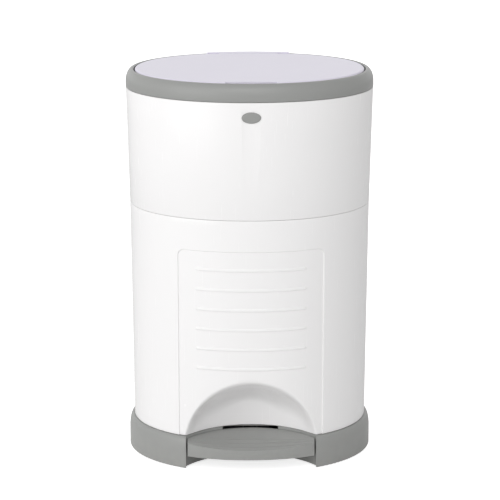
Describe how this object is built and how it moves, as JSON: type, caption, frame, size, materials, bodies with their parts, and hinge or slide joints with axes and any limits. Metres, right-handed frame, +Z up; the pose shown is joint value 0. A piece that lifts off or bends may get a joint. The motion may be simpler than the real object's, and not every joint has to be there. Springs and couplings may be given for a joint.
{
  "type": "pedal nappy bin",
  "caption": "Tall oval nappy bin with a pedal-lifted lid, a sprung throat, a hinged top unit with a release button, and a full-height front door with an arched foot space.",
  "frame": {"origin": "centre of the footprint at floor level, where the foot pads rest", "axes": "+Z is up, +X is to the right seen from the front, and the pedal and door face -Y"},
  "size_m": [0.3614, 0.2937, 0.5722],
  "materials": {
    "white": "smooth glossy moulding",
    "inner": "satin moulding",
    "lid": "smooth glossy moulding",
    "grey": "fine satin grain",
    "dark_rubber": "matte",
    "pale_rubber": "matte",
    "steel": "brushed",
    "film": "pleated film, packed tight"
  },
  "bodies": {
    "body": {"base_plinth": "grey", "foot_pad_1": "dark_rubber", "foot_pad_2": "dark_rubber", "foot_pad_3": "dark_rubber", "foot_pad_4": "dark_rubber", "lower_rear_shell": "white", "base_screw_1": "steel", "base_screw_2": "steel", "base_screw_3": "steel", "base_screw_4": "steel", "upper_shell": "white", "cassette_shelf": "inner", "refill_cassette": "inner", "film_pack": "film", "rod_guide": "inner", "rod_cover": "inner", "button_guide": "inner", "pedal_pin": "steel", "pedal_spring": "steel", "door_pin_1": "steel", "door_pin_2": "steel", "top_hinge_pin": "steel"},
    "top_unit": {"top_ring": "grey", "throat_funnel": "white", "throat_seal": "pale_rubber", "latch_pin": "steel", "lid_pin_left": "steel", "lid_pin_right": "steel", "flap_pin_left": "steel", "flap_pin_right": "steel", "flap_spring_left": "steel", "flap_spring_right": "steel"},
    "lid": {"lid_panel": "lid", "lid_liner": "inner", "lid_seal": "pale_rubber", "lid_lever": "inner"},
    "push_rod": {"push_rod": "steel"},
    "pedal": {"pedal_tread": "grey", "pedal_lever": "steel", "pedal_screw_left": "steel", "pedal_screw_right": "steel"},
    "flap_left": {"flap_left": "inner"},
    "flap_right": {"flap_right": "inner"},
    "latch": {"latch_arm": "inner"},
    "button": {"release_button": "grey"},
    "door": {"front_door": "white", "door_catch": "inner", "cutter_housing": "grey", "cutter_blade": "steel"}
  },
  "joints": [
    {"name": "top_hinge", "type": "hinge", "parent": "body", "child": "top_unit", "pos_m": [0, 0.143, 0.54], "axis": [-1, 0, 0], "range_deg": [0, 75]},
    {"name": "lid_hinge", "type": "hinge", "parent": "top_unit", "child": "lid", "pos_m": [0, 0.1245, 0.5675], "axis": [-1, 0, 0], "range_deg": [0, 80]},
    {"name": "rod_slide", "type": "slide", "parent": "body", "child": "push_rod", "axis": [0, 0, 1], "range_m": [0, 0.0219]},
    {"name": "pedal_hinge", "type": "hinge", "parent": "body", "child": "pedal", "pos_m": [0, -0.05, 0.03], "axis": [1, 0, 0], "range_deg": [0, 8.1], "stiffness_Nm_per_rad": 0.3, "springref_deg": -11.46},
    {"name": "flap_left_hinge", "type": "hinge", "parent": "top_unit", "child": "flap_left", "pos_m": [-0.07253, -0.016, 0.4646], "axis": [0, 1, 0], "range_deg": [0, 80], "stiffness_Nm_per_rad": 0.02, "springref_deg": -45.84},
    {"name": "flap_right_hinge", "type": "hinge", "parent": "top_unit", "child": "flap_right", "pos_m": [0.07253, -0.016, 0.4646], "axis": [0, -1, 0], "range_deg": [0, 80], "stiffness_Nm_per_rad": 0.02, "springref_deg": -45.84},
    {"name": "button_press", "type": "slide", "parent": "body", "child": "button", "axis": [0, 1, 0], "range_m": [0, 0.0032], "stiffness_N_per_m": 300, "springref_m": -0.003},
    {"name": "latch_hinge", "type": "hinge", "parent": "top_unit", "child": "latch", "pos_m": [0, -0.1404, 0.552], "axis": [1, 0, 0], "range_deg": [0, 6.7]},
    {"name": "door_hinge", "type": "hinge", "parent": "body", "child": "door", "pos_m": [-0.1715, 0.026, 0.2], "axis": [0, 0, -1], "range_deg": [0, 100]}
  ],
  "couplings": [
    {"joint": "rod_slide", "follows": "lid_hinge", "m_per_rad": 0.0156},
    {"joint": "pedal_hinge", "follows": "lid_hinge", "ratio": 0.1},
    {"joint": "latch_hinge", "follows": "button_press", "rad_per_m": 36}
  ]
}
